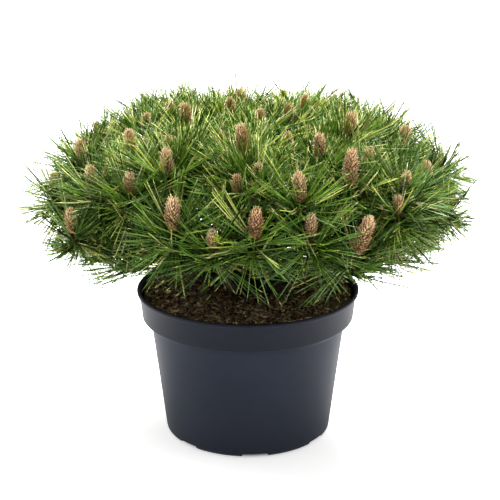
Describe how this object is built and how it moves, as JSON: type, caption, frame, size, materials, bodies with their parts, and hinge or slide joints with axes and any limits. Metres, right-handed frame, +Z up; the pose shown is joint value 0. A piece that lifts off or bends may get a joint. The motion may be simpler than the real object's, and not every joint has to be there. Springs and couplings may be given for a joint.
{
  "type": "potted watereri scots pine",
  "caption": "Low, domed dwarf scots pine with radiating needle pairs and upright tan candles, in a round dark plastic nursery pot.",
  "frame": {"origin": "middle of the pot's flat underside, on the floor that the pot stands on", "axes": "+Z up along the trunk, -Y towards the plant's front, +X to the right seen from the front"},
  "size_m": [0.4656, 0.4308, 0.3557],
  "materials": {
    "pot": "satin moulded",
    "soil": "moist peat with bark chips",
    "bark": "scaly bark",
    "needles": "green needles with tan candles"
  },
  "bodies": {
    "root": {"pot": "pot", "soil": "soil", "trunk": "bark", "bough_low_1": "bark", "bough_low_2": "bark", "bough_low_3": "bark", "bough_low_4": "bark", "bough_low_5": "bark", "bough_low_6": "bark", "bough_low_7": "bark", "bough_low_8": "bark", "bough_low_9": "bark", "bough_middle_1": "bark", "bough_middle_2": "bark", "bough_middle_3": "bark", "bough_middle_4": "bark", "bough_middle_5": "bark", "bough_middle_6": "bark", "bough_middle_7": "bark", "bough_upper_1": "bark", "bough_upper_2": "bark", "bough_upper_3": "bark", "bough_upper_4": "bark", "needles_low_1": "needles", "needles_low_2": "needles", "needles_low_3": "needles", "needles_low_4": "needles", "needles_low_5": "needles", "needles_low_6": "needles", "needles_low_7": "needles", "needles_low_8": "needles", "needles_low_9": "needles", "needles_middle_1": "needles", "needles_middle_2": "needles", "needles_middle_3": "needles", "needles_middle_4": "needles", "needles_middle_5": "needles", "needles_middle_6": "needles", "needles_middle_7": "needles", "needles_upper_1": "needles", "needles_upper_2": "needles", "needles_upper_3": "needles", "needles_upper_4": "needles", "needles_leader": "needles"}
  },
  "joints": []
}
